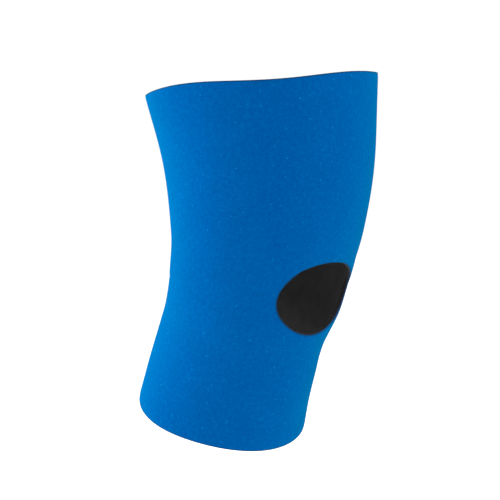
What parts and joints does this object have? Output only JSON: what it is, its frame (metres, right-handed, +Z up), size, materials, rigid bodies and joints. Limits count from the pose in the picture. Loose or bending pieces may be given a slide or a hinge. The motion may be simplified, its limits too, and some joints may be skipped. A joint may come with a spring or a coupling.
{
  "type": "knee sleeve",
  "caption": "Soft foam tube faced with knitted fabric, shaped as on a slightly bent knee, wider at the thigh, with raw-cut rims and an open hole over the kneecap.",
  "frame": {"origin": "on the leg's axis inside the sleeve, at the level of the kneecap hole", "axes": "+Z up the leg towards the thigh, -Y towards the front of the knee, +X across the knee"},
  "size_m": [0.157, 0.1819, 0.2665],
  "materials": {
    "knitted_face": "matte saturated blue jersey knit with a fine grain and small lint specks",
    "foam": "matte black closed-cell foam, raw at the cut edges"
  },
  "bodies": {
    "root": {"outer_fabric": "knitted_face", "neoprene_core": "foam"}
  },
  "joints": []
}
